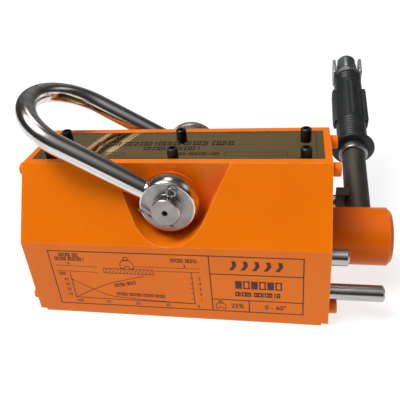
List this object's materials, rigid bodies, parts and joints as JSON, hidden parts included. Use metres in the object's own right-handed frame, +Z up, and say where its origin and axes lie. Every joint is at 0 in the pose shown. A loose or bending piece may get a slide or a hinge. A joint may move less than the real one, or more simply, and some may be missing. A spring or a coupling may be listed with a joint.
{
  "type": "lifting magnet",
  "caption": "Permanent magnet lifter: a wedge-topped steel block with a turning magnet inside, a hand lever with a push-button latch at one end and a swinging lifting shackle on top.",
  "frame": {"origin": "centre of the lower pole face, which clamps on the load", "axes": "+Z up, away from the load; +X along the body towards the lever's hub; -Y is the side with the printed panel, where the lever points when the magnet is on"},
  "size_m": [0.2781, 0.2811, 0.1638],
  "materials": {
    "body_enamel": "gloss enamel",
    "hub_enamel": "gloss enamel",
    "pole_iron": "machined",
    "brass": "machined",
    "nameplate": "mirror polish",
    "magnet_nickel": "nickel plate",
    "black_screw": "black oxide",
    "bronze": "machined",
    "polished_steel": "polished",
    "turned_steel": "turned",
    "chrome": "bright chrome",
    "gunmetal": "dark satin",
    "guard_steel": "satin",
    "button_chrome": "polished",
    "rubber": "ribbed",
    "spring_steel": "drawn wire"
  },
  "bodies": {
    "housing": {"pole_block_front": "body_enamel", "pole_block_rear": "body_enamel", "pole_spacer": "brass", "fixed_magnets": "magnet_nickel", "top_spacer": "brass", "nameplate": "nameplate", "set_screws": "black_screw", "end_plate_left": "body_enamel", "end_plate_right": "body_enamel", "end_screws_left": "body_enamel", "end_screws_right": "body_enamel", "bush_left": "bronze", "bush_right": "bronze", "stop_pin_on": "polished_steel", "catch_pin": "polished_steel", "stop_pin_off": "polished_steel", "shackle_pin": "turned_steel", "cotter_pin": "polished_steel"},
    "shackle": {"shackle": "chrome"},
    "rotor": {"rotor_pole_near": "pole_iron", "rotor_pole_far": "pole_iron", "rotor_magnets": "magnet_nickel", "rotor_cap_left": "polished_steel", "rotor_cap_right": "polished_steel", "shaft_left": "polished_steel", "shaft_right": "polished_steel", "rotor_screws": "turned_steel", "thrust_washer": "turned_steel", "hub": "hub_enamel", "hub_washer": "turned_steel", "hub_screw": "black_screw", "lever_rod": "gunmetal", "ferrule": "polished_steel", "grip": "rubber", "button_guard": "guard_steel", "latch_spring": "spring_steel"},
    "latch": {"release_button": "button_chrome", "push_rod": "turned_steel", "safety_key": "gunmetal", "key_pin": "turned_steel"}
  },
  "joints": [
    {"name": "shackle_swing", "type": "hinge", "parent": "housing", "child": "shackle", "pos_m": [0, 0, 0.0915], "axis": [0, 1, 0], "range_deg": [0, 118.4]},
    {"name": "lever_turn", "type": "hinge", "parent": "housing", "child": "rotor", "pos_m": [0, 0, 0.0381], "axis": [1, 0, 0], "range_deg": [0, 161]},
    {"name": "latch_slide", "type": "slide", "parent": "rotor", "child": "latch", "axis": [0, 0.9455, 0.3256], "range_m": [-0.002, 0.008], "stiffness_N_per_m": 300, "deforming": ["latch_spring"]}
  ]
}
